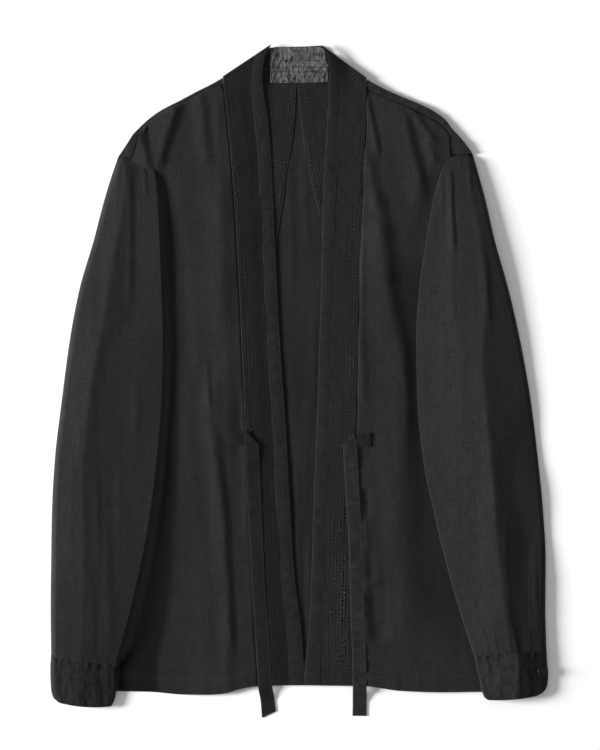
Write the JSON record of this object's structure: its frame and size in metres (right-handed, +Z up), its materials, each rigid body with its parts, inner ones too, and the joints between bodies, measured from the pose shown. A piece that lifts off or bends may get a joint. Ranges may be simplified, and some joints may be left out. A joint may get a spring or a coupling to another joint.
{
  "type": "kimono shirt laid flat",
  "caption": "Open-front kimono shirt laid flat on its back, with quilted collar bands, long cuffed sleeves and hanging ties.",
  "frame": {"origin": "on the surface that the shirt lies on, under the middle of its outline", "axes": "+Z up out of the surface, +Y from the hem towards the neck, +X to the right of someone who looks down at the front"},
  "size_m": [0.5974, 0.8037, 0.018],
  "materials": {
    "shirt_cloth": "washed black plain-weave cotton and linen, faintly faded, soft sheen on the folds",
    "quilted_cloth": "the same cloth in two layers, quilted with close rows of running stitch",
    "tie_tape": "folded self-fabric tape, topstitched along both edges",
    "faded_patch": "thin crinkled grey cloth, faded, stitched in rows",
    "button": "dull black four-hole shirt button"
  },
  "bodies": {
    "root": {"back_panel": "shirt_cloth", "left_saddle": "shirt_cloth", "right_saddle": "shirt_cloth", "left_front": "shirt_cloth", "right_front": "shirt_cloth", "left_sleeve": "shirt_cloth", "right_sleeve": "shirt_cloth", "left_cuff": "shirt_cloth", "right_cuff": "shirt_cloth", "right_sleeve_placket": "shirt_cloth", "right_cuff_button": "button", "left_band": "quilted_cloth", "right_band": "quilted_cloth", "left_band_edge": "shirt_cloth", "right_band_edge": "shirt_cloth", "neck_stand": "quilted_cloth", "neck_patch": "faded_patch", "left_neck_facing": "quilted_cloth", "right_neck_facing": "quilted_cloth", "left_tie": "tie_tape", "right_tie": "tie_tape"}
  },
  "joints": []
}
